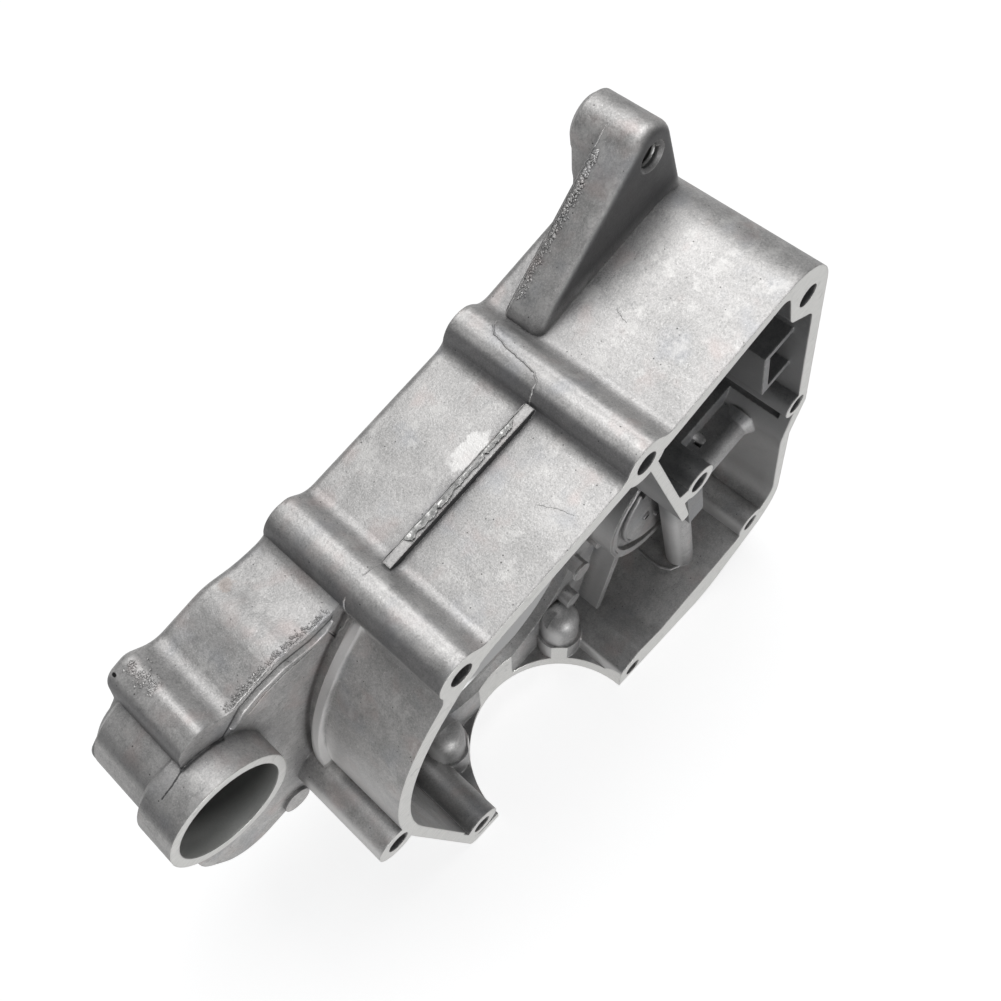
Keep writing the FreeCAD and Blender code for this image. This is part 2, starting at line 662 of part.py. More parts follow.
# Stud bosses with a collar and a domed end, one each side of the cylinder spigot
stud_parts = []
for side, sign in (("left", "-"), ("right", "")):
    across = sign + "Dims.stud_offset_x"
    shank_top = "Dims.stud_boss_height - Dims.stud_boss_radius"
    stud_parts += [
        leaning_rod("stud_collar_" + side, across, "Dims.stud_offset_y", "2", "Dims.stud_collar_height", "Dims.stud_collar_radius"),
        leaning_rod("stud_boss_" + side, across, "Dims.stud_offset_y", "2", shank_top, "Dims.stud_boss_radius"),
        leaning_ball("stud_dome_" + side, across, "Dims.stud_offset_y", shank_top, "Dims.stud_boss_radius"),
    ]

solid_metal = fuse("solid_metal", [
    shell, hanger_ring, hanger_body, lug_rib, lug_neck, lug_boss, parting_rib, web_tab, divider, bearing_boss,
    gallery, gallery_web, ledge, rail, rail_flare, rail_web, crank_rib, catch_walls,
] + columns + small_bosses + stud_parts)

# Countersunk mouth of the tapped hole in the hanger lug
lug_mouth = doc.addObject("Part::Cone", "lug_mouth")
lug_mouth.setExpression("Radius1", "Dims.lug_hole_radius + Dims.lug_hole_chamfer")
lug_mouth.setExpression("Radius2", "Dims.lug_hole_radius")
lug_mouth.setExpression("Height", "Dims.lug_hole_chamfer")
place(lug_mouth, ("Dims.lug_x", "Dims.lug_front", lug_z), (1, 0, 0), -90)

# Everything that is drilled, bored or left open
spigot_bore = leaning_rod("spigot_bore", "0", "0", "-30", "24", "Dims.spigot_radius")
openings = [spigot_bore]
for letter in "abcdefghi":
    openings.append(column(
        "bolt_hole_" + letter,
        "Dims.hole_%s_x" % letter,
        "Dims.hole_%s_z" % letter,
        "-1",
        "Dims.casting_depth + 1",
        "Dims.bolt_hole_radius",
    ))
for side, sign in (("left", "-"), ("right", "")):
    openings.append(leaning_rod(
        "stud_hole_" + side, sign + "Dims.stud_offset_x", "Dims.stud_offset_y", "-2",
        "Dims.stud_hole_depth", "Dims.stud_hole_radius",
    ))
openings += [
    column(
        "crank_opening", "Dims.opening_x", "Dims.opening_z",
        "Dims.floor_front - 4", "Dims.floor_front + Dims.floor_thickness + 1", "Dims.opening_radius",
    ),
    column(
        "hanger_bore", "Dims.hanger_x", "Dims.hanger_z",
        "Dims.hanger_front - 1", "Dims.hanger_front + Dims.hanger_bore_depth", "Dims.hanger_bore_radius",
    ),
    column(
        "hanger_core", "Dims.hanger_x", "Dims.hanger_z",
        "Dims.hanger_front - 1", "Dims.hanger_back + 6", "Dims.hanger_core_radius",
    ),
    column(
        "lug_hole", "Dims.lug_x", lug_z,
        "Dims.lug_front - 1", "Dims.lug_front + Dims.lug_hole_depth", "Dims.lug_hole_radius",
    ),
    bearing_groove,
    lug_mouth,
]
voids = fuse("voids", openings)

cover = cut("crankcase_cover", solid_metal, voids)
cover.Label = "crankcase_cover"
turn_back = FreeCAD.Rotation(FreeCAD.Vector(0, 1, 0), -size("cylinder_lean"))
cover.Placement = FreeCAD.Placement(FreeCAD.Vector(0, 0, 0), turn_back)
doc.recompute()

# Checks before anything is written
for item in doc.Objects:
    if "Invalid" in item.State or "Error" in item.State:
        raise RuntimeError("not built: %s %s" % (item.Name, item.State))
for piece in (cover,):
    if piece.Shape.isNull() or not piece.Shape.isValid():
        raise RuntimeError("bad shape: " + piece.Label)
    if len(piece.Shape.Solids) != 1:
        raise RuntimeError("%s has %d solids" % (piece.Label, len(piece.Shape.Solids)))

os.makedirs("parts", exist_ok=True)
for piece in (cover,):
    piece.Shape.exportStep("parts/%s.step" % piece.Label)
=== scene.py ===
import math
import random

import bmesh
import bpy
from mathutils import Matrix, Vector, noise
from mathutils.bvhtree import BVHTree


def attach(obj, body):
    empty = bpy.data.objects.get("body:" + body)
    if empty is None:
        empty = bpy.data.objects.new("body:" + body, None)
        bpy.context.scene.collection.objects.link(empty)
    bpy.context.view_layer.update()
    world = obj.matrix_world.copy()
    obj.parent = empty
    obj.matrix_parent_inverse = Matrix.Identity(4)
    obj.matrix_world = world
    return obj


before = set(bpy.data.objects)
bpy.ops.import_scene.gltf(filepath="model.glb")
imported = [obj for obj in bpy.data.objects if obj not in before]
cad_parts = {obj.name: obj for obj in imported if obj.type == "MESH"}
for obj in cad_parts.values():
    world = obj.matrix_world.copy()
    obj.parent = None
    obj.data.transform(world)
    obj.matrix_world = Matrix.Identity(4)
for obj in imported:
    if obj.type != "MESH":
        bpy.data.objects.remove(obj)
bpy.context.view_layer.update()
scene = bpy.context.scene
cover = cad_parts["crankcase_cover"]

# The casting is laid out in millimetres along its long wall: X along the wall, Y into the
# depth, Z to the wall. The finished part is turned about Y by the lean of the cylinder.
LEAN = math.radians(13.5)
CASE_ROUND = (25.0, 85.0)  # x and z of the centre of the round part of the chamber
CASE_REACH = 68.3
CASTING_DEPTH = 61.0
HANGER = (-62.7, 138.5)
HANGER_BORE = 14.4
HANGER_FRONT = 24.0
SPIGOT_RADIUS = 32.0
BEARING = (84.0, 47.0)
BEARING_FACE = 20.0
LUG_HOLE = (115.3, 172.8)
LUG_CREST_Y = 51.6
ARM_FACE = 33.0
RIB_FOOT = 151.2
RIB_TOP = 153.6
TURN = Matrix.Rotation(-LEAN, 4, "Y") @ Matrix.Scale(0.001, 4)
BACK = TURN.inverted()


def at(x, y, z):
    """A place given along the long wall, in the frame of the finished part."""
    return TURN @ Vector((x, y, z))


# Node trees
class Tree:
    """Short calls for building one material."""

    def __init__(self, name):
        self.material = bpy.data.materials.new(name)
        self.material.use_nodes = True
        self.nodes = self.material.node_tree.nodes
        self.links = self.material.node_tree.links
        self.shader = self.nodes["Principled BSDF"]

    def put(self, socket, value):
        """Links an output or sets a constant."""
        if isinstance(value, bpy.types.NodeSocket):
            self.links.new(value, socket)
        elif isinstance(value, tuple) and len(value) == 3 and socket.type == "RGBA":
            socket.default_value = value + (1.0,)
        else:
            socket.default_value = value

    def node(self, kind, inputs=(), **settings):
        made = self.nodes.new(kind)
        for name, value in settings.items():
            setattr(made, name, value)
        for key, value in dict(inputs).items():
            self.put(made.inputs[key], value)
        return made

    def math(self, kind, first, second=0.0, clamp=False):
        return self.node("ShaderNodeMath", {0: first, 1: second}, operation=kind, use_clamp=clamp).outputs[0]

    def arrow(self, kind, first, second=None, output=0):
        """Vector maths with one or two vectors."""
        inputs = {0: first} if second is None else {0: first, 1: second}
        return self.node("ShaderNodeVectorMath", inputs, operation=kind).outputs[output]

    def add(self, first, second):
        return self.math("ADD", first, second)

    def less(self, first, second):
        return self.math("SUBTRACT", first, second)

    def times(self, first, second, clamp=False):
        return self.math("MULTIPLY", first, second, clamp)

    def ramp(self, value, low, high, start=0.0, end=1.0):
        """Value from low to high, as a smooth step between start and end."""
        inputs = {0: value, 1: low, 2: high, 3: start, 4: end}
        return self.node("ShaderNodeMapRange", inputs, interpolation_type="SMOOTHSTEP").outputs[0]

    def mix(self, share, first, second, kind="MIX"):
        made = self.node("ShaderNodeMix", data_type="RGBA", blend_type=kind)
        self.put(made.inputs[0], share)
        self.put(made.inputs[6], first)
        self.put(made.inputs[7], second)
        return made.outputs[2]

    def noise(self, vector, scale, detail=3.0, rough=0.55, seed=0.0):
        shift = (seed * 13.7, seed * 7.1, seed * -5.3)
        moved = self.arrow("ADD", vector, shift)
        inputs = {"Vector": moved, "Scale": scale, "Detail": detail, "Roughness": rough}
        return self.node("ShaderNodeTexNoise", inputs).outputs[0]

    def cells(self, vector, scale):
        return self.node("ShaderNodeTexVoronoi", {"Vector": vector, "Scale": scale}).outputs[0]

    def vector(self, x, y, z):
        return self.node("ShaderNodeCombineXYZ", {0: x, 1: y, 2: z}).outputs[0]

    def bump(self, height, depth, normal=None):
        inputs = {"Height": height, "Distance": depth, "Strength": 1.0}
        if normal is not None:
            inputs["Normal"] = normal
        return self.node("ShaderNodeBump", inputs).outputs[0]

    def spot(self, place, centre, size, ragged):
        """A soft-edged patch round one place, its rim broken up."""
        scaled = self.arrow("DIVIDE", self.arrow("SUBTRACT", place, centre), size)
        far = self.arrow("LENGTH", scaled, output="Value")
        return self.ramp(self.add(far, ragged), 1.05, 0.75)

    def path(self, place, points):
        """Distance from a polyline."""
        nearest = None
        for start, end in zip(points, points[1:]):
            span = Vector(end) - Vector(start)
            gap = self.arrow("SUBTRACT", place, start)
            along = self.arrow("DOT_PRODUCT", gap, tuple(span / span.length_squared), "Value")
            share = self.math("ADD", along, 0.0, True)
            foot = self.node("ShaderNodeVectorMath", {0: tuple(span)}, operation="SCALE")
            self.put(foot.inputs["Scale"], share)
            far = self.arrow("LENGTH", self.arrow("SUBTRACT", gap, foot.outputs[0]), output="Value")
            nearest = far if nearest is None else self.math("MINIMUM", nearest, far)
        return nearest


def casting_places(tree):
    """Object coordinates turned back to the long wall, in millimetres."""
    coords = tree.node("ShaderNodeTexCoord").outputs["Object"]
    split = tree.node("ShaderNodeSeparateXYZ", {0: coords}).outputs
    cosine, sine = 1000 * math.cos(LEAN), 1000 * math.sin(LEAN)
    x = tree.add(tree.times(split[0], cosine), tree.times(split[2], sine))
    y = tree.times(split[1], 1000.0)
    z = tree.less(tree.times(split[2], cosine), tree.times(split[0], sine))
    return coords, x, y, z, tree.vector(x, y, z)


def inside_share(tree, x, y, z):
    """One in the hollow of the case, zero on its outside."""
    reach_x = tree.math("MINIMUM", tree.less(x, CASE_ROUND[0]), 0.0)
    reach_z = tree.math("MAXIMUM", tree.less(z, CASE_ROUND[1]), 0.0)
    corner = tree.math("SQRT", tree.add(tree.times(reach_x, reach_x), tree.times(reach_z, reach_z)))
    crest = tree.add(tree.ramp(x, 68.0, 122.0, 0.0, 4.0), tree.ramp(y, 56.5, 58.5, 148.7, 143.5))
    top = tree.less(crest, z)
    right_wall = tree.add(tree.ramp(z, 0.0, 46.0, 119.6, 122.4), tree.ramp(z, 46.0, 66.0, 0.0, 6.6))
    sides = [
        tree.less(CASE_REACH, corner),
        top,
        tree.less(right_wall, x),
        tree.less(tree.add(tree.times(x, 0.2334), tree.times(z, 0.9724)), 2.2),
        tree.less(tree.add(26.4 * 0.989 - 2.3, tree.times(z, 0.989)), tree.times(x, 0.149)),
        tree.less(78.9, tree.times(tree.less(x, z), 0.7071)),
        tree.less(192.0, tree.times(tree.add(x, z), 0.7071)),
    ]
    least = sides[0]
    for side in sides[1:]:
        least = tree.math("MINIMUM", least, side)
    within = tree.ramp(least, -0.4, 0.4)
    deep = tree.times(tree.ramp(y, 0.15, 0.35), tree.ramp(y, CASTING_DEPTH - 0.1, CASTING_DEPTH - 0.4))
    return tree.times(within, deep)


SKIN_DARK = (0.3, 0.298, 0.294)


def cast_skin(tree, place, tone):
    """Colour, roughness and height of the blasted casting skin."""
    cloud = tree.noise(place, 0.06, 3.0, 0.6)
    patch = tree.noise(place, 0.24, 4.0, 0.68, 3.0)
    fine = tree.noise(place, 1.3, 2.0, 0.7, 5.0)
    grain = tree.noise(place, 2.4, 2.0, 0.7, 8.0)
    split = tree.node("ShaderNodeSeparateXYZ", {0: place}).outputs
    drawn = tree.vector(tree.times(split[0], 1.6), tree.times(split[1], 0.1), tree.times(split[2], 1.6))
    streak = tree.noise(drawn, 0.4, 2.0, 0.6, 19.0)
    shade = tree.add(tree.times(tree.less(cloud, 0.5), 0.75), tree.times(tree.less(patch, 0.5), 0.85))
    shade = tree.add(shade, tree.times(tree.less(fine, 0.5), 0.7))
    shade = tree.add(shade, tree.times(tree.less(grain, 0.5), 1.05))
    shade = tree.add(shade, tree.times(tree.less(streak, 0.5), 0.25))
    colour = tree.mix(tree.math("ADD", shade, 0.5, True), SKIN_DARK, tone)
    # Faint warm and cool clouds
    warm = tree.ramp(tree.noise(place, 0.11, 2.0, 0.5, 11.0), 0.54, 0.74)
    colour = tree.mix(tree.times(warm, 0.3), colour, (0.62, 0.5, 0.475))
    cool = tree.ramp(tree.noise(place, 0.09, 2.0, 0.5, 13.0), 0.54, 0.74)
    colour = tree.mix(tree.times(cool, 0.3), colour, (0.4, 0.42, 0.46))
    # Chalky clouds with a broken rim
    chalk = tree.ramp(tree.add(tree.noise(place, 0.13, 3.0, 0.7, 23.0), tree.times(fine, 0.12)), 0.6, 0.72)
    colour = tree.mix(tree.times(chalk, 0.45), colour, (0.72, 0.71, 0.695))
    # Pale flecks and dark pores
    fleck_field = tree.noise(place, 0.7, 2.0, 0.5, 14.0)
    fleck = tree.times(tree.ramp(tree.cells(place, 1.15), 0.2, 0.08), tree.ramp(fleck_field, 0.5, 0.6))
    colour = tree.mix(tree.times(fleck, 0.6), colour, (0.86, 0.85, 0.83))
    pore_field = tree.noise(place, 0.35, 2.0, 0.5, 17.0)
    pore = tree.times(tree.ramp(tree.cells(place, 0.5), 0.13, 0.06), tree.ramp(pore_field, 0.52, 0.6))
    colour = tree.mix(tree.times(pore, 0.85), colour, (0.03, 0.03, 0.03))
    rough = tree.add(0.34, tree.add(tree.times(patch, 0.2), tree.times(streak, 0.14)))
    height = tree.add(tree.times(grain, 0.5), tree.times(fine, 0.7))
    height = tree.add(height, tree.times(patch, 1.0))
    return colour, rough, height


ARM_CREASE = [
    (-9.8, 31.2, 153.2), (-14.1, 33.0, 149.7), (-20.8, 33.0, 150.5), (-29.1, 33.0, 153.9),
    (-36.5, 33.0, 154.9), (-42.6, 33.0, 154.4), (-47.6, 33.0, 151.5), (-50.5, 32.8, 150.2),
]
BOSS_CREASE = [(-50.5, 32.8, 150.2), (-55.5, 32.8, 153.7), (-60.2, 32.7, 155.2)]
BOSS_CREASE_END = [(-60.8, 32.6, 155.3), (-64.2, 31.9, 155.3), (-67.8, 31.9, 154.6)]
# Line of the step below the arm edge, along which a highlight is painted
STEP_HIGHLIGHT_LINE = [
    (-12.0, 27.2, 147.0), (-19.2, 28.4, 141.9), (-23.5, 28.2, 138.6), (-28.4, 28.8, 134.0),
    (-32.9, 28.4, 128.9), (-38.2, 28.0, 121.2), (-41.9, 27.2, 112.9), (-44.2, 27.0, 101.9),
]


def cover_material():
    tree = Tree("cast_aluminium_skin")
    coords, x, y, z, place = casting_places(tree)
    colour, rough, height = cast_skin(tree, place, (0.74, 0.725, 0.715))
    normal = tree.node("ShaderNodeTexCoord").outputs["Normal"]
    normal_y = tree.node("ShaderNodeSeparateXYZ", {0: normal}).outputs[1]

    # Painted highlight along the edges, painted shade in the hollows and at the feet of ridges
    soft = tree.node("ShaderNodeBevel", {"Radius": 0.0007}, samples=3).outputs[0]
    true_normal = tree.node("ShaderNodeNewGeometry").outputs["Normal"]
    along = tree.arrow("DOT_PRODUCT", soft, true_normal, "Value")
    edge = tree.ramp(along, 0.985, 0.86)
    edge = tree.times(edge, tree.ramp(tree.noise(place, 0.8, 3.0, 0.6, 21.0), 0.38, 0.6))
    cavity = tree.node("ShaderNodeAmbientOcclusion", {"Distance": 0.012}, samples=3).outputs["AO"]
    inside = inside_share(tree, x, y, z)
    step_highlight_distance = tree.path(place, STEP_HIGHLIGHT_LINE)
    crease_shade = tree.times(tree.ramp(cavity, 0.95, 0.5, 0.0, 0.66), tree.ramp(inside, 0.0, 1.0, 1.0, 0.35))
    crease_shade = tree.times(crease_shade, tree.ramp(step_highlight_distance, 4.5, 8.5, 0.25, 1.0))
    colour = tree.mix(crease_shade, colour, (0.085, 0.085, 0.092))

    # Marks at their places on the casting: a smooth patch by the rib, sooty and pitted areas
    ragged = tree.times(tree.less(tree.noise(place, 0.45, 3.0, 0.6, 31.0), 0.5), 1.3)
    smear = tree.spot(place, (37.0, 34.8, 151.2), (6.8, 3.9, 4.0), ragged)
    colour = tree.mix(tree.times(smear, 0.6), colour, (0.9, 0.89, 0.875))
    soot = tree.spot(place, (-31.0, 50.0, 154.0), (9.0, 11.0, 6.0), ragged)
    colour = tree.mix(tree.times(soot, 0.28), colour, (0.2, 0.2, 0.2))
    rust = tree.spot(place, (-25.0, 57.0, 152.0), (3.2, 2.6, 5.0), ragged)
    colour = tree.mix(tree.times(rust, 0.2), colour, (0.36, 0.2, 0.12))

    # Painted shadow of the grooves where the die closed, which are not cut in the mesh: below the arm edge
    # and round the hanger boss
    ragged_line = tree.times(tree.less(tree.noise(place, 1.4, 3.0, 0.7, 33.0), 0.5), 0.5)
    groove_shadow_lines = [
        (tree.path(place, ARM_CREASE), 0.42),
        (tree.path(place, BOSS_CREASE), 0.75),
        (tree.path(place, BOSS_CREASE_END), 0.24),
    ]
    for far, half in groove_shadow_lines:
        dark = tree.ramp(tree.add(far, ragged_line), half * 1.3, half * 0.5)
        colour = tree.mix(tree.times(dark, 0.85), colour, (0.05, 0.05, 0.052))
    pore = tree.spot(place, (-55.6, 58.5, 161.2), (0.55, 0.8, 1.5), tree.times(ragged, 0.1))
    colour = tree.mix(pore, colour, (0.02, 0.02, 0.02))

    # Painted shade on the near face of the hanger lug, which looks away from the lamps; the face itself is
    # smooth
    near_face = tree.ramp(normal_y, -0.45, -0.95)
    lug_face_shade = tree.times(near_face, tree.times(tree.ramp(z, 151.5, 158.0), tree.ramp(x, 60.0, 68.0)))
    colour = tree.mix(tree.times(lug_face_shade, 0.9), colour, (0.06, 0.06, 0.062))
    # Painted shade on the near side of the parting rib, which looks away from the lamps
    rib_side_shade = tree.times(near_face, tree.times(tree.ramp(z, 150.9, 151.4), tree.ramp(x, 1.5, 3.0)))
    rib_side_shade = tree.times(rib_side_shade, tree.ramp(x, 56.0, 54.0))
    colour = tree.mix(tree.times(rib_side_shade, 0.9), colour, (0.05, 0.05, 0.052))
    # Painted highlight along the step below the arm
    colour = tree.mix(tree.ramp(step_highlight_distance, 2.4, 1.0, 0.0, 0.8), colour, (0.96, 0.95, 0.94))
    # Painted shade on the flanks that look along the wall to the arm, painted light on the low end of the
    # left wall
    flank = tree.arrow("DOT_PRODUCT", normal, (-0.9724, 0.0, -0.2334), "Value")
    on_ridges = tree.times(tree.ramp(z, 150.4, 152.4), tree.ramp(x, 68.0, 64.0))
    shaded = tree.times(tree.ramp(flank, 0.22, 0.62), on_ridges)
    colour = tree.mix(tree.times(shaded, 0.62), colour, (0.09, 0.09, 0.096))
    low_end = tree.times(tree.ramp(z, 128.0, 102.0), tree.ramp(y, 31.0, 27.0))
    low_wall_light = tree.times(tree.ramp(flank, 0.5, 0.8), low_end)
    colour = tree.mix(tree.times(low_wall_light, 0.7), colour, (0.95, 0.94, 0.93))

    # Darker inside the case: partly the skin's own darker tone, partly painted shade of the hollow, more at
    # the gear side
    gear_side = tree.times(tree.ramp(x, 58.0, 66.0), tree.ramp(z, 44.0, 60.0))
    dim = tree.times(inside, tree.add(0.24, tree.times(gear_side, 0.34)))
    colour = tree.mix(dim, colour, (0.09, 0.096, 0.106))
    # Painted highlight along the edges, fainter inside the case
    colour = tree.mix(tree.times(edge, tree.ramp(inside, 0.0, 1.0, 0.4, 0.5)), colour, (0.74, 0.73, 0.71))

    # Machined faces and bores: clean metal with the lay of the tool
    ring_depth = tree.math("ABSOLUTE", tree.less(y, HANGER_FRONT))
    face_depth = tree.math("MINIMUM", tree.math("ABSOLUTE", y), ring_depth)
    flat = tree.times(tree.ramp(face_depth, 0.06, 0.02), tree.ramp(normal_y, -0.97, -0.995))
    split = tree.node("ShaderNodeSeparateXYZ", {0: coords}).outputs
    spigot = tree.math(
        "SQRT", tree.add(tree.times(split[0], split[0]), tree.times(split[1], split[1])),
    )
    spigot_off = tree.math("ABSOLUTE", tree.less(spigot, SPIGOT_RADIUS / 1000))
    spigot_face = tree.times(tree.ramp(spigot_off, 0.00012, 0.00004), tree.ramp(split[2], 0.0245, 0.0235))
    from_bore = tree.vector(tree.less(x, HANGER[0]), tree.less(z, HANGER[1]), 0.0)
    bore_far = tree.arrow("LENGTH", from_bore, output="Value")
    bore_wall = tree.ramp(bore_far, HANGER_BORE + 0.02, HANGER_BORE - 0.04)
    bore = tree.times(bore_wall, tree.ramp(y, HANGER_FRONT + 0.05, HANGER_FRONT + 0.15))
    deck = tree.ramp(split[2], 0.00006, 0.00002)
    machined = tree.math("MAXIMUM", flat, tree.math("MAXIMUM", spigot_face, tree.math("MAXIMUM", bore, deck)))
    across = tree.vector(tree.times(x, 0.35), tree.times(y, 6.0), tree.times(z, 7.0))
    lay = tree.noise(across, 0.8, 2.0, 0.6, 41.0)
    clean = tree.mix(tree.ramp(lay, 0.3, 0.7), (0.66, 0.66, 0.64), (0.84, 0.83, 0.81))
    worn = tree.ramp(tree.noise(place, 0.28, 4.0, 0.65, 43.0), 0.58, 0.75)
    clean = tree.mix(tree.times(worn, 0.5), clean, (0.45, 0.45, 0.44))
    clean = tree.mix(tree.times(bore, 0.5), clean, (0.95, 0.95, 0.91))
    # Painted shade deeper in the hanger bore
    deep = tree.ramp(tree.add(y, tree.times(tree.add(x, 66.0), 0.25)), 26.5, 33.5)
    clean = tree.mix(tree.times(bore, tree.times(deep, 0.85)), clean, (0.1, 0.1, 0.1))
    colour = tree.mix(machined, colour, clean)
    rough = tree.mix(machined, rough, tree.add(0.3, tree.times(lay, 0.16)))
    height = tree.mix(machined, height, tree.times(lay, 0.35))

    tree.put(tree.shader.inputs["Base Color"], colour)
    metallic = tree.less(tree.ramp(machined, 0.0, 1.0, 0.6, 0.9), tree.times(bore, 0.55))
    tree.put(tree.shader.inputs["Metallic"], metallic)
    tree.put(tree.shader.inputs["Roughness"], rough)
    tree.put(tree.shader.inputs["Normal"], tree.bump(height, 0.00006, soft))
    return tree.material


def flash_material():
    """Raw torn aluminium: brighter and smoother than the blasted skin."""
    tree = Tree("raw_flash")
    coords, x, y, z, place = casting_places(tree)
    lumps = tree.noise(place, 0.9, 4.0, 0.65, 2.0)
    colour = tree.mix(tree.ramp(lumps, 0.35, 0.65), (0.5, 0.5, 0.49), (0.97, 0.96, 0.94))
    # Painted shade in the crevices and under the curls of the flash
    cavity = tree.node("ShaderNodeAmbientOcclusion", {"Distance": 0.0015}, samples=4).outputs["AO"]
    colour = tree.mix(tree.ramp(cavity, 0.85, 0.45, 0.0, 0.92), colour, (0.03, 0.03, 0.03))
    tree.put(tree.shader.inputs["Base Color"], colour)
    tree.put(tree.shader.inputs["Metallic"], 0.5)
    tree.put(tree.shader.inputs["Roughness"], tree.add(0.28, tree.times(lumps, 0.35)))
    fine = tree.noise(place, 2.2, 2.0, 0.5, 6.0)
    tree.put(tree.shader.inputs["Normal"], tree.bump(fine, 0.00006))
    return tree.material


def seam_material():
    """The same skin as the casting, for beads and steps that belong to it."""
    tree = Tree("cast_seam")
    coords, x, y, z, place = casting_places(tree)
    colour, rough, height = cast_skin(tree, place, (0.72, 0.705, 0.695))
    # Painted shade at the feet of beads and steps; darker inside the case, partly own tone and partly painted
    # shade
    cavity = tree.node("ShaderNodeAmbientOcclusion", {"Distance": 0.002}, samples=4).outputs["AO"]
    colour = tree.mix(tree.ramp(cavity, 0.7, 0.3, 0.0, 0.6), colour, (0.1, 0.1, 0.1))
    inside = inside_share(tree, x, y, z)
    colour = tree.mix(tree.times(inside, 0.5), colour, (0.16, 0.162, 0.168))
    tree.put(tree.shader.inputs["Base Color"], colour)
    tree.put(tree.shader.inputs["Metallic"], 0.6)
    tree.put(tree.shader.inputs["Roughness"], rough)
    tree.put(tree.shader.inputs["Normal"], tree.bump(height, 0.00006))
    return tree.material


def thread_material():
    tree = Tree("cut_thread")
    coords, x, y, z, place = casting_places(tree)
    marks = tree.noise(place, 2.4, 3.0, 0.6, 4.0)
    tree.put(tree.shader.inputs["Base Color"], tree.mix(marks, (0.16, 0.16, 0.16), (0.42, 0.42, 0.41)))
    tree.put(tree.shader.inputs["Metallic"], 0.7)
    tree.put(tree.shader.inputs["Roughness"], 0.34)
    tree.put(tree.shader.inputs["Normal"], tree.bump(marks, 0.00005))
    return tree.material


skin = cover_material()
flash = flash_material()
seam = seam_material()
thread = thread_material()
for slot in cover.material_slots:
    slot.material = skin

# The surface that small forms sit on
cover_mesh = cover.data
surface_tree = BVHTree.FromPolygons(
    [BACK @ cover.matrix_world @ vertex.co for vertex in cover_mesh.vertices],
    [tuple(polygon.vertices) for polygon in cover_mesh.polygons],
)


def wall_z(x, y):
    """Height of the casting under a place on the long wall side."""
    hit = surface_tree.ray_cast(Vector((x, y, 260.0)), Vector((0.0, 0.0, -1.0)))[0]
    return hit.z if hit else 150.0


def rough_at(place, size, seed):
    """Smooth repeatable noise between minus one and one."""
    return noise.noise(Vector(place) / size + Vector((seed, seed * 0.37, -seed)))


def piece(name, points, faces, material):
    """A mesh given in casting millimetres, riding on the casting."""
    mesh = bpy.data.meshes.new(name)
    mesh.from_pydata([at(*point) for point in points], [], faces)
    mesh.validate()
    mesh.update()
    for polygon in mesh.polygons:
        polygon.use_smooth = True
    mesh.materials.append(material)
    made = bpy.data.objects.new(name, mesh)
    scene.collection.objects.link(made)
    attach(made, "root")
    return made


def strip(name, stations, material):
    """A closed skin over a row of cross-sections, each a list of points of one count."""
    count = len(stations[0])
    points = [point for station in stations for point in station]
    faces = []
    for row in range(len(stations) - 1):
        for column in range(count - 1):
            first = row * count + column
            faces.append((first, first + 1, first + 1 + count, first + count))
    faces.append(tuple(range(count)))
    last = (len(stations) - 1) * count
    faces.append(tuple(last + count - 1 - column for column in range(count)))
    return piece(name, points, faces, material)


def walk(points, step):
    """Even places along a polyline."""
    places = []
    for start, end in zip(points, points[1:]):
        start, end = Vector(start), Vector(end)
        parts = max(1, round((end - start).length / step))
        places += [start.lerp(end, part / parts) for part in range(parts)]
    places.append(Vector(points[-1]))
    return places


def seam_ridge(name, line, width, rise, seed, material):
    """A thin broken step that follows the long wall side of the casting."""
    stations = []
    places = walk(line, 0.35)
    for number, place in enumerate(places):
        ahead = places[min(number + 1, len(places) - 1)] - places[max(number - 1, 0)]
        side = Vector((-ahead.y, ahead.x)).normalized()
        wave = 0.35 * rough_at((place.x, place.y, 0.0), 1.1, seed)
        tall = rise * (0.6 + 0.7 * abs(rough_at((place.x, place.y, 5.0), 0.8, seed)))
        fade = min(1.0, number / 4.0, (len(places) - 1 - number) / 4.0)
        row = []
        for share, lift in ((-1.0, -0.25), (-0.55, 0.75), (-0.1, 1.0), (0.25, 0.55), (1.0, -0.25)):
            shift = wave + share * width / 2
            px, py = place.x + side.x * shift, place.y + side.y * shift
            height = tall * lift * fade if lift > 0 else lift
            row.append((px, py, wall_z(px, py) + height))
        stations.append(row)
    return strip(name, stations, material)


def crumbs(name, places, sizes, seed, material, flat=0.7):
    """Many torn lumps in one mesh, each a dented ball half sunk in the casting."""
    mesh = bmesh.new()
    chance = random.Random(seed)
    for place, size in zip(places, sizes):
        ball = bmesh.ops.create_icosphere(mesh, subdivisions=2, radius=1.0)["verts"]
        turn = Matrix.Rotation(chance.uniform(0, 6.28), 3, "Z")
        turn = turn @ Matrix.Rotation(chance.uniform(-0.6, 0.6), 3, "X")
        stretch = Vector((size * chance.uniform(0.8, 1.7), size * chance.uniform(0.6, 1.1), size * flat))
        for vertex in ball:
            dent = 1.0 + 0.45 * noise.noise(vertex.co * 1.6 + Vector((place[0], place[1], seed)))
            vertex.co = turn @ (vertex.co * stretch * dent) + Vector(place)
    points = [tuple(vertex.co) for vertex in mesh.verts]
    mesh.verts.index_update()
    faces = [tuple(vertex.index for vertex in face.verts) for face in mesh.faces]
    mesh.free()
    return piece(name, points, faces, material)


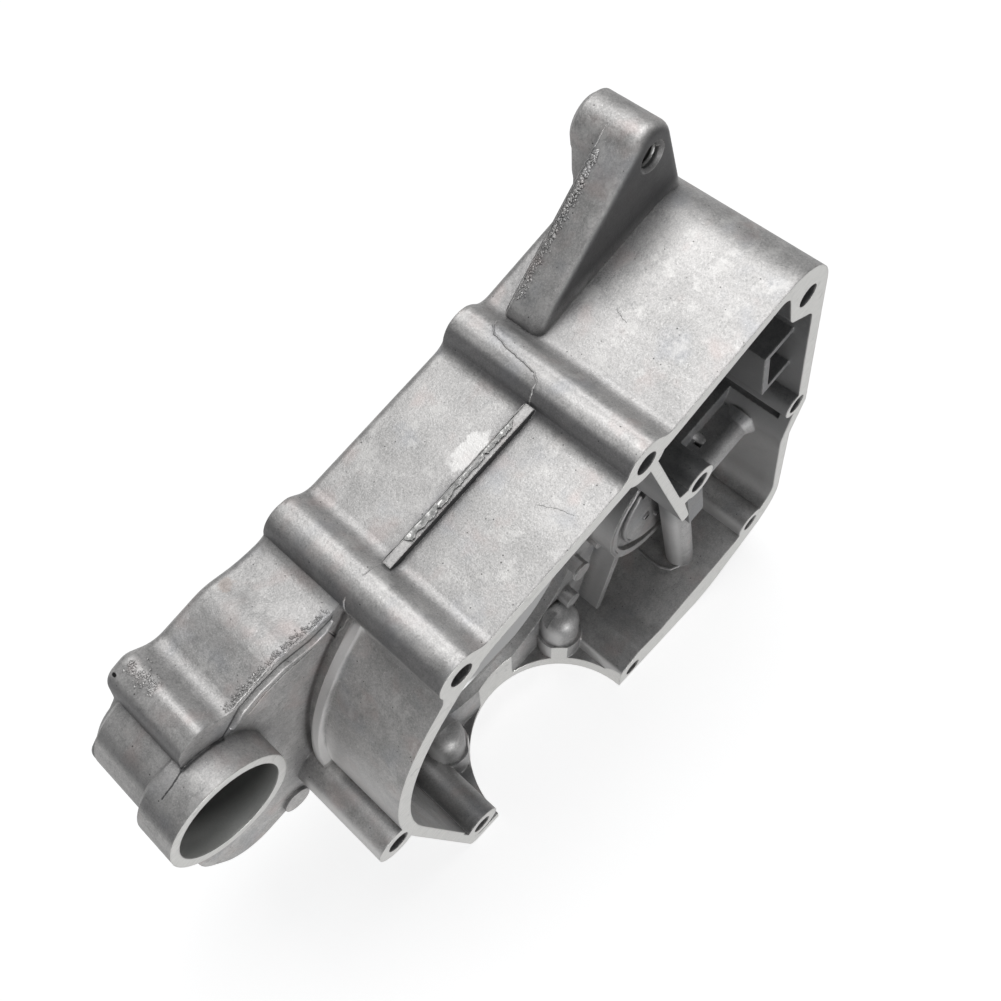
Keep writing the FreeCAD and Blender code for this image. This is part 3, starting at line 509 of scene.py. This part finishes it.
def torn_leaf(name, start, end, far_edge, reach, seed, material):
    """A thin curled leaf of flash pressed over the crest of the parting rib, its near edge ragged."""
    stations = []
    count = round((end - start) / 0.11)
    for number in range(count + 1):
        share = number / count
        x = start + (end - start) * share
        swell = 0.5 + 0.5 * rough_at((x, 3.0, 0.0), 4.2, seed)
        notch = rough_at((x, 5.0, 0.0), 1.9, seed + 1) + 0.4 * rough_at((x, 5.0, 3.0), 0.6, seed + 2)
        ends = min(1.0, share * 9, (1 - share) * 9)
        width = max(0.15, (reach * (0.45 + 0.8 * swell) + 0.5 * notch) * ends)
        row = [(x, far_edge, RIB_TOP - 0.2)]
        for column in range(9):
            across = column / 8
            y = far_edge - width * across
            curl = 0.2 + 0.6 * across ** 2 * (0.5 + swell) + 0.34 * rough_at((x, y, 2.0), 1.7, seed + 3)
            curl += 0.07 * rough_at((x, y, 4.0), 0.5, seed + 4)
            row.append((x, y, RIB_TOP + max(0.04, curl) * ends))
        row.append((x, far_edge - width * 0.93, RIB_TOP - 0.1))
        stations.append(row)
    return strip(name, stations, material)


torn_leaf("rib_flash_low", 10.6, 22.5, 31.3, 2.3, 3.0, flash)
torn_leaf("rib_flash_mid", 20.0, 40.0, 30.9, 1.5, 31.0, flash)
torn_leaf("rib_flash_high", 38.0, 49.6, 31.2, 1.7, 57.0, flash)

# Second thin plate of flash beside the rib
stations = []
for number in range(201):
    x = 3.9 + 50.4 * number / 200
    y = 31.75 + 0.1 * rough_at((x, 0.0, 0.0), 1.5, 9.0)
    tall = 2.0 + 0.25 * rough_at((x, 2.0, 0.0), 2.2, 10.0)
    crest = RIB_FOOT + tall
    stations.append([
        (x, y - 0.2, RIB_FOOT - 0.2), (x, y - 0.16, crest),
        (x, y + 0.1, crest + 0.05), (x, y + 0.35, RIB_FOOT - 0.2),
    ])
strip("rib_seam", stations, seam)

# Parting steps that wander over the ridges
seam_ridge("seam_ridge_a", [
    (54.6, 31.0), (57.0, 31.4), (59.6, 31.9), (60.8, 33.4), (61.3, 37.0),
    (61.8, 42.0), (62.9, 48.6), (64.6, 50.6), (67.4, 51.6),
], 0.75, 0.5, 12.0, seam)
seam_ridge("seam_ridge_b", [(-8.0, 31.6), (-10.4, 31.2), (-13.6, 31.9), (-17.0, 32.9)], 0.8, 0.55, 13.0, seam)
seam_ridge("seam_ridge_c", [(3.4, 31.6), (0.6, 31.2), (-1.6, 31.4)], 0.6, 0.35, 14.0, seam)
seam_ridge("seam_scratch_a", [(87.6, 31.0), (86.4, 28.4), (85.9, 26.4)], 0.35, 0.12, 15.0, seam)
seam_ridge("seam_scratch_b", [(37.0, 13.4), (38.4, 10.8), (39.6, 8.2), (40.6, 4.4)], 0.35, 0.1, 16.0, seam)

# Flash on the sloping back of the hanger lug: a thin crest and a band of torn beads
seam_ridge("lug_seam", [(x, LUG_CREST_Y) for x in (68.6, 76.0, 90.0, 104.0, 112.5)], 0.5, 0.35, 17.0, seam)
chance = random.Random(5)
places = []
sizes = []
for number in range(420):
    share = chance.random() ** 0.8
    x = 73.0 + 34.0 * share
    y = LUG_CREST_Y - 0.4 - abs(chance.gauss(0.0, 0.85)) - 0.2
    size = chance.uniform(0.14, 0.4) * (0.7 + 0.5 * share)
    places.append((x, y, wall_z(x, y) + 0.05))
    sizes.append(size)
crumbs("lug_beads", places, sizes, 6, seam, 0.8)

# Torn edge along the front of the arm
chance = random.Random(8)
places = []
sizes = []
for number in range(260):
    share = chance.random()
    x = -13.0 - 31.5 * share
    y = 33.7 + abs(chance.gauss(0.0, 0.8))
    places.append((x, y, wall_z(x, y) + 0.02))
    sizes.append(chance.uniform(0.14, 0.36))
crumbs("arm_edge_crumbs", places, sizes, 9, seam, 0.55)
seam_ridge("arm_edge_seam", [
    (-13.0, 33.5), (-24.0, 33.45), (-33.0, 33.5), (-44.0, 33.4),
], 0.6, 0.45, 18.0, seam)

# Pitted patch on the end ridge of the arm
chance = random.Random(11)
places = []
sizes = []
for number in range(120):
    x = -51.6 + chance.gauss(0.0, 1.0)
    y = chance.uniform(47.8, 57.5)
    places.append((x, y, wall_z(x, y)))
    sizes.append(chance.uniform(0.16, 0.42))
crumbs("arm_pit_crumbs", places, sizes, 12, seam, 0.5)


# Beads on the face of the bearing boss
def face_bead(name, centre, radius, start, end, depth, thick, seed, material):
    """A rounded bead along an arc in a plane across the draw direction."""
    stations = []
    count = max(8, int(abs(end - start) / 2.2))
    for number in range(count + 1):
        angle = math.radians(start + (end - start) * number / count)
        away = Vector((math.cos(angle), math.sin(angle)))
        wave = 0.2 * rough_at((away.x * radius, away.y * radius, 0.0), 5.0, seed)
        fade = min(1.0, number / 3.0, (count - number) / 3.0)
        row = []
        for turn in range(7):
            bend = math.pi * turn / 6
            reach = radius + wave + thick * math.cos(bend)
            sunk = 0.4 if turn in (0, 6) else 0.0
            row.append((
                centre[0] + away.x * reach,
                depth - thick * (0.95 * math.sin(bend) * (0.3 + 0.7 * fade)) + sunk,
                centre[1] + away.y * reach,
            ))
        stations.append(row)
    return strip(name, stations, material)


face_bead("bearing_bead_outer", BEARING, 25.0, 112.0, 196.0, BEARING_FACE + 0.1, 0.8, 20.0, seam)
face_bead("bearing_bead_inner", BEARING, 19.2, 118.0, 205.0, BEARING_FACE + 0.1, 0.7, 21.0, seam)


# Raised lip on the web, just under the crease of the arm
def web_lip(name, line, drop, thick, seed, material):
    """A rounded lip on a face that looks to the split face, below a line of places."""
    stations = []
    places = walk(line, 0.5)
    for number, place in enumerate(places):
        fade = min(1.0, (number + 0.4) / 7.0, (len(places) - 0.6 - number) / 7.0)
        wave = 0.16 * rough_at((place.x, 0.0, place.z), 1.6, seed)
        row = []
        for share, lift in ((0.0, -0.2), (0.12, 0.8), (0.35, 1.0), (0.7, 0.75), (1.0, -0.2)):
            height = thick * lift * (0.25 + 0.75 * fade) if lift > 0 else lift
            row.append((place.x, place.y - height, place.z - 0.55 - wave - drop * share))
        stations.append(row)
    return strip(name, stations, material)


web_lip("arm_lip", ARM_CREASE[1:7], 2.7, 1.2, 25.0, seam)
web_lip("arm_lip_low", [
    (-22.0, ARM_FACE, 146.4), (-30.0, ARM_FACE, 149.2), (-37.0, ARM_FACE, 150.0), (-43.0, ARM_FACE, 148.6),
], 0.7, 0.3, 26.0, seam)


def floor_bead(name, line, thick, seed, material):
    """A bead along the foot of a post, resting on the chamber wall below it."""
    stations = []
    places = walk(line, 0.6)
    for number, place in enumerate(places):
        ahead = places[min(number + 1, len(places) - 1)] - places[max(number - 1, 0)]
        side = Vector((-ahead.y, ahead.x, 0.0)).normalized()
        wave = 0.1 * rough_at(tuple(place), 2.0, seed)
        row = []
        for turn in range(7):
            bend = math.pi * turn / 6
            reach = (thick + wave) * math.cos(bend)
            lift = (thick + wave) * 0.8 * math.sin(bend) - (0.25 if turn in (0, 6) else 0.0)
            row.append((place.x + side.x * reach, place.y + side.y * reach, place.z + lift))
        stations.append(row)
    return strip(name, stations, material)


floor_bead("post_foot", [
    (74.6, 30.6, 0.8), (73.6, 26.0, 0.8), (73.1, 20.0, 0.8), (73.5, 15.0, 0.8), (75.2, 11.8, 0.8),
    (78.2, 10.2, 0.8), (81.6, 10.3, 0.8), (84.4, 12.2, 0.8), (85.8, 15.6, 0.8),
], 0.75, 27.0, seam)


def low_pad(name, centre, half_x, half_z, depth, rise, seed, material):
    """A worn rectangular pad on a face that looks to the split face."""
    stations = []
    for lift, grow in ((0.3, 1.0), (-0.6 * rise, 0.97), (-0.9 * rise, 0.86), (-rise, 0.7)):
        row = []
        for step in range(16):
            angle = math.tau * (step + 0.5) / 16
            square = 1.0 / max(abs(math.cos(angle)), abs(math.sin(angle))) ** 0.8
            wobble = 1.0 + 0.05 * rough_at((step, lift, 0.0), 1.3, seed)
            row.append((
                centre[0] + half_x * grow * square * wobble * math.cos(angle), depth + lift,
                centre[1] + half_z * grow * square * wobble * math.sin(angle),
            ))
        stations.append(row + [row[0]])
    return strip(name, stations, material)


low_pad("bearing_pad_a", (75.1, 46.1), 1.6, 1.1, BEARING_FACE, 0.9, 28.0, seam)
low_pad("bearing_pad_b", (80.4, 38.2), 1.5, 1.2, BEARING_FACE, 0.9, 29.0, seam)
# Fills a narrow notch of the casting beside the rail
low_pad("gallery_plug", (105.2, 48.2), 2.2, 5.5, 23.0, 5.2, 30.0, seam)


def screw_thread(name, centre, radius, front, back, pitch, depth, material):
    """An inner thread along the draw direction."""
    turns = (back - front) / pitch
    count = int(turns * 40)
    stations = []
    for number in range(count + 1):
        angle = math.tau * turns * number / count
        y = front + (back - front) * number / count
        row = []
        for shift, bite in ((-0.5, -0.12), (-0.12, depth), (0.12, depth), (0.5, -0.12)):
            reach = radius - bite
            row.append((
                centre[0] + reach * math.cos(angle),
                y + shift * pitch * 0.96,
                centre[1] + reach * math.sin(angle),
            ))
        stations.append(row)
    return strip(name, stations, material)


screw_thread("lug_thread", LUG_HOLE, 3.4, 42.4, 54.2, 1.25, 0.62, thread)

# Camera: fitted to the bolt holes, the spigot notch and the bolt columns
cam_data = bpy.data.cameras.new("camera")
cam_data.sensor_width = 36.0
cam_data.lens = 38.68
cam_data.clip_end = 10.0
cam = bpy.data.objects.new("camera", cam_data)
scene.collection.objects.link(cam)
right = Vector((0.68443, -0.7286, -0.02491)).normalized()
view = Vector((0.35295, 0.3611, -0.86315)).normalized()
right = (right - right.dot(view) * view).normalized()
up = right.cross(view)
turned = Matrix((right, up, -view)).transposed().to_4x4()
cam.matrix_world = Matrix.Translation((-0.09259, -0.0706, 0.37237)) @ turned
scene.camera = cam


# Floor and world: pale, and white where the camera or a reflection meets them
def white_for_eye(tree):
    path = tree.node("ShaderNodeLightPath").outputs
    seen = tree.math("MAXIMUM", path["Is Camera Ray"], path["Is Glossy Ray"])
    return tree.math("MAXIMUM", seen, path["Is Transmission Ray"])


floor_mesh = bpy.data.meshes.new("floor")
FLOOR_HALF, FLOOR_Z = 4, -0.0005
corners = [(sx * FLOOR_HALF, sy * FLOOR_HALF, FLOOR_Z) for sx, sy in ((-1, -1), (1, -1), (1, 1), (-1, 1))]
floor_mesh.from_pydata(corners, [], [(0, 1, 2, 3)])
floor = bpy.data.objects.new("floor", floor_mesh)
scene.collection.objects.link(floor)
tree = Tree("pale_floor")
facing = tree.node("ShaderNodeLightPath").outputs["Is Camera Ray"]
tree.put(tree.shader.inputs["Base Color"], tree.mix(facing, (0.16, 0.16, 0.16), (0.34, 0.34, 0.34)))
tree.put(tree.shader.inputs["Roughness"], 1.0)
tree.put(tree.shader.inputs["Specular IOR Level"], 0.0)
place = tree.node("ShaderNodeTexCoord").outputs["Object"]
# Painted shadow on the floor under the opening of the case, dimming its glow to the camera
under_part_shadow = tree.spot(place, (0.024, 0.044, 0.0), (0.034, 0.0065, 1.0), 0.0)
seen = tree.node("ShaderNodeLightPath").outputs["Is Glossy Ray"]
to_camera = tree.ramp(under_part_shadow, 0.0, 1.0, 0.82, 0.2)
strength = tree.add(tree.times(seen, 0.64), tree.times(tree.less(1.0, seen), to_camera))
glow = tree.node("ShaderNodeEmission", {"Color": (1.0, 1.0, 1.0), "Strength": strength})
lit = tree.node("ShaderNodeAddShader", {0: tree.shader.outputs[0], 1: glow.outputs[0]})
shaders = {0: white_for_eye(tree), 1: tree.shader.outputs[0], 2: lit.outputs[0]}
chosen = tree.node("ShaderNodeMixShader", shaders)
tree.links.new(chosen.outputs[0], tree.nodes["Material Output"].inputs["Surface"])
floor_mesh.materials.append(tree.material)

world = bpy.data.worlds.new("world")
world.use_nodes = True
scene.world = world
links = world.node_tree.links
nodes = world.node_tree.nodes
background = nodes["Background"]
background.inputs["Color"].default_value = (0.9, 0.95, 1.0, 1.0)
background.inputs["Strength"].default_value = 0.14
white = nodes.new("ShaderNodeBackground")
white.inputs["Color"].default_value = (1.0, 1.0, 1.0, 1.0)
white.inputs["Strength"].default_value = 1.0
path = nodes.new("ShaderNodeLightPath")
either = nodes.new("ShaderNodeMath")
either.operation = "MAXIMUM"
links.new(path.outputs["Is Camera Ray"], either.inputs[0])
links.new(path.outputs["Is Transmission Ray"], either.inputs[1])
joined = nodes.new("ShaderNodeMixShader")
links.new(either.outputs[0], joined.inputs[0])
sheen = nodes.new("ShaderNodeBackground")
sheen.inputs["Color"].default_value = (1.0, 1.0, 1.0, 1.0)
sheen.inputs["Strength"].default_value = 0.2
mirrored = nodes.new("ShaderNodeMixShader")
links.new(path.outputs["Is Glossy Ray"], mirrored.inputs[0])
links.new(background.outputs[0], mirrored.inputs[1])
links.new(sheen.outputs[0], mirrored.inputs[2])
links.new(mirrored.outputs[0], joined.inputs[1])
links.new(white.outputs[0], joined.inputs[2])
links.new(joined.outputs[0], nodes["World Output"].inputs["Surface"])


def soft_light(name, place, target, size, power):
    lamp = bpy.data.lights.new(name, "AREA")
    lamp.shape = "DISK"
    lamp.size = size
    lamp.energy = power
    holder = bpy.data.objects.new(name, lamp)
    scene.collection.objects.link(holder)
    holder.location = place
    holder.rotation_euler = (Vector(target) - Vector(place)).to_track_quat("-Z", "Y").to_euler()


soft_light("key", (0.2, 0.255, 1.545), (0.0, 0.03, 0.1), 1.0, 13.4)
soft_light("front", (-0.15, -0.75, 0.06), (-0.02, 0.03, 0.08), 0.4, 3.9)
soft_light("side", (-0.85, 0.05, 0.1), (-0.05, 0.03, 0.08), 0.5, 0.2)

scene.view_settings.view_transform = "Standard"
